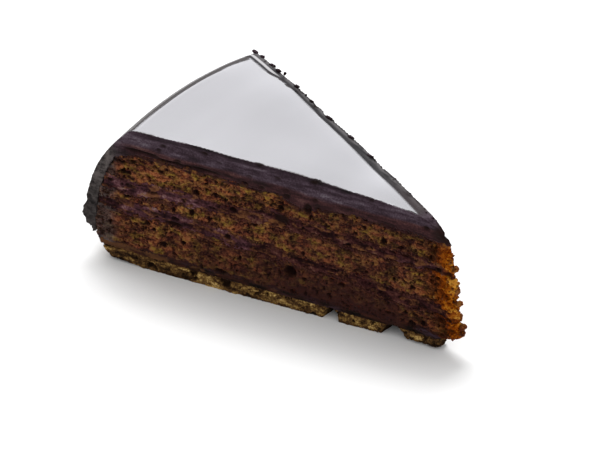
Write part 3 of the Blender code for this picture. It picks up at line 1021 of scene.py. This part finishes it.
# %% The tree of scattered crumbs
def crumb_tree():
    numbers = ("Density", "Smallest", "Largest", "Roughness", "Flatness", "Seed")
    tree, given = new_tree("scattered crumbs", numbers)
    wires = Wire(tree)
    wall = wires.add("GeometryNodeInputNamedAttribute", {"data_type": "FLOAT"}, {"Name": "wall"})
    high = wires.add("GeometryNodeInputPosition").axis(2).step(1.5 * MM, 3 * MM)
    spots = wires.add("GeometryNodeDistributePointsOnFaces", {"distribute_method": "RANDOM"}, {
        "Mesh": given["Geometry"], "Density": given["Density"] * wall * high, "Seed": given["Seed"]})
    lump = wires.add("GeometryNodeMeshUVSphere", inputs={"Segments": 8, "Rings": 6, "Radius": 0.5})
    size = wires.add("FunctionNodeRandomValue", {"data_type": "FLOAT"}, {
        2: given["Smallest"], 3: given["Largest"], "Seed": 1}, output=1)
    shape = wires.joined(size, size * given["Flatness"], size)
    turn = wires.add("FunctionNodeRandomValue", {"data_type": "FLOAT_VECTOR"}, {
        0: (0, 0, 0), 1: (math.tau, math.tau, math.tau), "Seed": 2}, output=0)
    placed = wires.add("GeometryNodeInstanceOnPoints", inputs={
        "Points": spots, "Instance": lump, "Rotation": turn, "Scale": shape})
    real = wires.add("GeometryNodeRealizeInstances", inputs={"Geometry": placed})
    place = wires.add("GeometryNodeInputPosition")
    bend = place.swirls(given["Largest"]).scaled(given["Roughness"])
    end_tree(shaped(real, Offset=bend), given["Material"])
    return tree


scattered = crumb_tree()
print("the tree has", len(scattered.nodes), "nodes")

# %% [markdown]
# Crumbs of one kind make one piece, wherever they cling. The largest change the outline: lumps that
# barely hold on at the broken point, and bits of chocolate that the knife pushed over the far edge.
# These are few, so each is listed with its place, and noise makes it ragged.

# %% Loose crumbs, one piece for each kind
LUMP_NOISE = (1.1, 900, 0.5), (2.6, -700, 0.3)     # scale, shift and strength: coarse, then fine


def add_lumps(block, spots):
    """Adds ragged balls to a bmesh. Each has a place and three radii, in millimetres from the axis."""
    for place, radii in spots:
        centre = AXIS + Vector(place) * MM
        for vertex in bmesh.ops.create_icosphere(block, subdivisions=3, radius=1.0)["verts"]:
            bumps = [noise.noise(vertex.co * scale + centre * shift) * strength
                     for scale, shift, strength in LUMP_NOISE]
            vertex.co *= 1 + bumps[0] + bumps[1]
            vertex.co = centre + Vector(side * radius for side, radius in zip(vertex.co, radii)) * MM


def mark_all(piece, label, value):
    """Stores the same number on all points of a piece, for its material."""
    marks = piece.data.attributes
    kind = marks.get(label) or marks.new(label, "FLOAT", "POINT")
    kind.data.foreach_set("value", np.full(len(piece.data.vertices), value))


def crumbs(name, hosts, values, look, slot, spots=()):
    """A piece of loose crumbs that cling to the walls of other pieces, and of lumps at given spots."""
    block = bmesh.new()
    for number, host in enumerate(hosts):
        copy = host.copy()
        bpy.context.scene.collection.objects.link(copy)
        grow(copy, scattered, {**values, "Seed": number, "Material": look})
        block.from_mesh(copy.data)
        bpy.data.objects.remove(copy)
    add_lumps(block, spots)
    for vertex in block.verts:
        vertex.co.z = max(vertex.co.z, 0)
    print(name, "has", len(block.faces), "faces")
    piece = new_object(name, block)
    piece.data.materials.append(look)
    piece.data.shade_smooth()
    mark_all(piece, "cut", 1.0)
    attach(piece, "root")
    return piece


def on_far_edge(distance, out, height):
    """A place along the far edge of the top, from the axis, and how far it lies beyond that edge."""
    along = Vector((-math.cos(BACK_ANGLE), math.sin(BACK_ANGLE), 0)) * distance
    return along + back_out * out + Vector((0, 0, height))


CRUMB_SIZES = sizes(Density=60000.0, Smallest=0.4, Largest=1.3, Roughness=0.9, Flatness=0.7)
GRAIN_SIZES = sizes(Density=110000.0, Smallest=0.6, Largest=1.5, Roughness=0.7, Flatness=0.8)
BIT_SIZES = sizes(Density=260000.0, Smallest=0.35, Largest=1.1, Roughness=0.8, Flatness=0.6)
POINT_LUMPS = (
    # place from the axis, radii
    ((6.8, 0.6, 34.8), (1.4, 1.3, 1.2)),
    ((7.2, 0.6, 25.8), (1.5, 1.4, 1.4)),
    ((8.2, 0.8, 20.8), (1.3, 1.3, 1.1)),
    ((8.4, 0.4, 15.5), (1.4, 1.4, 1.4)),
    ((9.8, 0.7, 12.1), (1.4, 1.5, 1.4)),
    ((9.6, 0.5, 9.6), (1.4, 1.4, 1.2)),
)
EDGE_BITS = tuple((on_far_edge(*place), radii) for place, radii in (
    ((118.0, -0.2, 53.6), (1.3, 0.7, 0.5)),
    ((113.5, 0.0, 54.1), (1.0, 0.6, 0.5)),
    ((107.0, 0.0, 54.2), (1.4, 0.5, 0.5)),
    ((103.0, 0.0, 54.2), (1.1, 0.6, 0.5)),
    ((99.7, 0.4, 54.8), (0.6, 0.6, 0.6)),
    ((91.4, 0.0, 54.4), (1.1, 0.6, 0.7)),
    ((81.6, -0.2, 54.0), (1.0, 0.5, 0.5)),
    ((70.0, -0.3, 53.9), (1.7, 0.5, 0.4)),
    ((56.4, -0.3, 53.9), (1.3, 0.5, 0.4)),
    ((43.8, -0.3, 53.4), (1.6, 0.5, 0.4)),
))
BIT_DARKNESS = 0.4                   # small bits look darker than the coating that they came off
sponges = [layers[name] for name in SPONGES]
crumbs("sponge_crumbs", sponges, CRUMB_SIZES, sponge_look, "sponge", POINT_LUMPS)
crumbs("biscuit_crumbs", [layers["biscuit_base"]], GRAIN_SIZES, biscuit_look, "biscuit")
bits = crumbs("chocolate_bits", [coating], BIT_SIZES, chocolate_look, "coating", EDGE_BITS)
mark_all(bits, "pore", BIT_DARKNESS)
